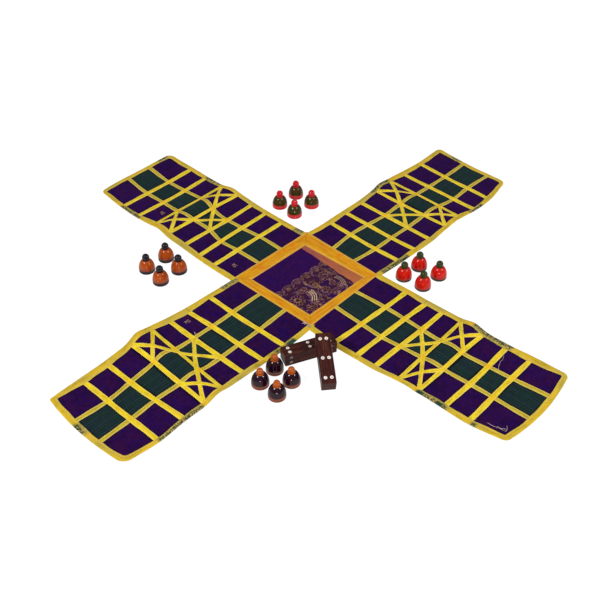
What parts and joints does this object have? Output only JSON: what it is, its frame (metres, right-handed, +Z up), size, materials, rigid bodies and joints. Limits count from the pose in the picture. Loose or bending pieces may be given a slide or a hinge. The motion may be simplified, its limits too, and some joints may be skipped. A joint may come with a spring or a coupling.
{
  "type": "cloth ludo board game",
  "caption": "Cross-shaped cloth race game board of purple and green silk with yellow ribbons, turned wooden men in four colours and long dice.",
  "frame": {"origin": "on the table, under the middle of the board and of the whole layout", "axes": "+Z up; +X along the south-east arm, which carries the die side; +Y along the north-east arm"},
  "size_m": [0.617, 0.6415, 0.0312],
  "materials": {
    "lining_cotton": "matt plain cotton",
    "silk_purple": "slubbed silk, low sheen; the middle strip is dark green",
    "silk_brocade": "satin with a gold woven ornament in one half",
    "ribbon_orange": "folded satin ribbon",
    "facing_salmon": "dull silk",
    "ribbon_yellow": "satin ribbon with woven ribs",
    "binding_gold": "satin binding with a green woven pattern in places",
    "lacquer_green": "glossy lacquer, red knob and foot",
    "lacquer_amber": "glossy lacquer, black knob and foot",
    "lacquer_red": "glossy lacquer, dark green knob and foot",
    "lacquer_black": "glossy lacquer, orange-brown knob and foot",
    "dark_wood": "waxed dark wood",
    "white_inlay": "matt white paste inlay"
  },
  "bodies": {
    "board": {"centre_backing": "lining_cotton", "centre_brocade": "silk_brocade", "centre_frame": "ribbon_orange", "centre_facing": "facing_salmon"},
    "southeast_inner": {"southeast_inner_backing": "lining_cotton", "southeast_inner_silk": "silk_purple", "southeast_inner_ribbons": "ribbon_yellow", "southeast_inner_binding": "binding_gold"},
    "southeast_outer": {"southeast_outer_backing": "lining_cotton", "southeast_outer_silk": "silk_purple", "southeast_outer_ribbons": "ribbon_yellow", "southeast_outer_binding": "binding_gold"},
    "northeast_inner": {"northeast_inner_backing": "lining_cotton", "northeast_inner_silk": "silk_purple", "northeast_inner_ribbons": "ribbon_yellow", "northeast_inner_binding": "binding_gold"},
    "northeast_outer": {"northeast_outer_backing": "lining_cotton", "northeast_outer_silk": "silk_purple", "northeast_outer_ribbons": "ribbon_yellow", "northeast_outer_binding": "binding_gold"},
    "northwest_inner": {"northwest_inner_backing": "lining_cotton", "northwest_inner_silk": "silk_purple", "northwest_inner_ribbons": "ribbon_yellow", "northwest_inner_binding": "binding_gold"},
    "northwest_outer": {"northwest_outer_backing": "lining_cotton", "northwest_outer_silk": "silk_purple", "northwest_outer_ribbons": "ribbon_yellow", "northwest_outer_binding": "binding_gold"},
    "southwest_inner": {"southwest_inner_backing": "lining_cotton", "southwest_inner_silk": "silk_purple", "southwest_inner_ribbons": "ribbon_yellow", "southwest_inner_binding": "binding_gold"},
    "southwest_outer": {"southwest_outer_backing": "lining_cotton", "southwest_outer_silk": "silk_purple", "southwest_outer_ribbons": "ribbon_yellow", "southwest_outer_binding": "binding_gold"},
    "man_green_1": {"man_green_1": "lacquer_green"},
    "man_green_2": {"man_green_2": "lacquer_green"},
    "man_green_3": {"man_green_3": "lacquer_green"},
    "man_green_4": {"man_green_4": "lacquer_green"},
    "man_amber_1": {"man_amber_1": "lacquer_amber"},
    "man_amber_2": {"man_amber_2": "lacquer_amber"},
    "man_amber_3": {"man_amber_3": "lacquer_amber"},
    "man_amber_4": {"man_amber_4": "lacquer_amber"},
    "man_red_1": {"man_red_1": "lacquer_red"},
    "man_red_2": {"man_red_2": "lacquer_red"},
    "man_red_3": {"man_red_3": "lacquer_red"},
    "man_red_4": {"man_red_4": "lacquer_red"},
    "man_black_1": {"man_black_1": "lacquer_black"},
    "man_black_2": {"man_black_2": "lacquer_black"},
    "man_black_3": {"man_black_3": "lacquer_black"},
    "man_black_4": {"man_black_4": "lacquer_black"},
    "die_lower": {"die_lower": "dark_wood", "die_lower_pips": "white_inlay"},
    "die_upper": {"die_upper": "dark_wood", "die_upper_pips": "white_inlay"}
  },
  "joints": [
    {"name": "southeast_root_fold", "type": "hinge", "parent": "board", "child": "southeast_inner", "pos_m": [0.06, 0, 0.0068], "axis": [0, -1, 0], "range_deg": [0, 180]},
    {"name": "southeast_mid_fold", "type": "hinge", "parent": "southeast_inner", "child": "southeast_outer", "pos_m": [0.187, 0, -0.00015], "axis": [0, 1, 0], "range_deg": [0, 180]},
    {"name": "northeast_root_fold", "type": "hinge", "parent": "board", "child": "northeast_inner", "pos_m": [0, 0.06, 0.009], "axis": [1, 0, 0], "range_deg": [0, 180]},
    {"name": "northeast_mid_fold", "type": "hinge", "parent": "northeast_inner", "child": "northeast_outer", "pos_m": [0, 0.19675, -0.00015], "axis": [-1, 0, 0], "range_deg": [0, 180]},
    {"name": "northwest_root_fold", "type": "hinge", "parent": "board", "child": "northwest_inner", "pos_m": [-0.06, 0, 0.0046], "axis": [0, 1, 0], "range_deg": [0, 180]},
    {"name": "northwest_mid_fold", "type": "hinge", "parent": "northwest_inner", "child": "northwest_outer", "pos_m": [-0.18975, 0, -0.00015], "axis": [0, -1, 0], "range_deg": [0, 180]},
    {"name": "southwest_root_fold", "type": "hinge", "parent": "board", "child": "southwest_inner", "pos_m": [0, -0.06, 0.0112], "axis": [-1, 0, 0], "range_deg": [0, 180]},
    {"name": "southwest_mid_fold", "type": "hinge", "parent": "southwest_inner", "child": "southwest_outer", "pos_m": [0, -0.19925, -0.00015], "axis": [1, 0, 0], "range_deg": [0, 180]},
    {"name": "man_green_1_lift", "type": "slide", "parent": "board", "child": "man_green_1", "axis": [0, 0, 1], "range_m": [0, 0.04]},
    {"name": "man_green_2_lift", "type": "slide", "parent": "board", "child": "man_green_2", "axis": [0, 0, 1], "range_m": [0, 0.04]},
    {"name": "man_green_3_lift", "type": "slide", "parent": "board", "child": "man_green_3", "axis": [0, 0, 1], "range_m": [0, 0.04]},
    {"name": "man_green_4_lift", "type": "slide", "parent": "board", "child": "man_green_4", "axis": [0, 0, 1], "range_m": [0, 0.04]},
    {"name": "man_amber_1_lift", "type": "slide", "parent": "board", "child": "man_amber_1", "axis": [0, 0, 1], "range_m": [0, 0.04]},
    {"name": "man_amber_2_lift", "type": "slide", "parent": "board", "child": "man_amber_2", "axis": [0, 0, 1], "range_m": [0, 0.04]},
    {"name": "man_amber_3_lift", "type": "slide", "parent": "board", "child": "man_amber_3", "axis": [0, 0, 1], "range_m": [0, 0.04]},
    {"name": "man_amber_4_lift", "type": "slide", "parent": "board", "child": "man_amber_4", "axis": [0, 0, 1], "range_m": [0, 0.04]},
    {"name": "man_red_1_lift", "type": "slide", "parent": "board", "child": "man_red_1", "axis": [0, 0, 1], "range_m": [0, 0.04]},
    {"name": "man_red_2_lift", "type": "slide", "parent": "board", "child": "man_red_2", "axis": [0, 0, 1], "range_m": [0, 0.04]},
    {"name": "man_red_3_lift", "type": "slide", "parent": "board", "child": "man_red_3", "axis": [0, 0, 1], "range_m": [0, 0.04]},
    {"name": "man_red_4_lift", "type": "slide", "parent": "board", "child": "man_red_4", "axis": [0, 0, 1], "range_m": [0, 0.04]},
    {"name": "man_black_1_lift", "type": "slide", "parent": "board", "child": "man_black_1", "axis": [0, 0, 1], "range_m": [0, 0.04]},
    {"name": "man_black_2_lift", "type": "slide", "parent": "board", "child": "man_black_2", "axis": [0, 0, 1], "range_m": [0, 0.04]},
    {"name": "man_black_3_lift", "type": "slide", "parent": "board", "child": "man_black_3", "axis": [0, 0, 1], "range_m": [0, 0.04]},
    {"name": "man_black_4_lift", "type": "slide", "parent": "board", "child": "man_black_4", "axis": [0, 0, 1], "range_m": [0, 0.04]},
    {"name": "die_lower_lift", "type": "slide", "parent": "board", "child": "die_lower", "axis": [0, 0, 1], "range_m": [0, 0.04]},
    {"name": "die_upper_lift", "type": "slide", "parent": "die_lower", "child": "die_upper", "axis": [0, 0, 1], "range_m": [0, 0.04]}
  ]
}
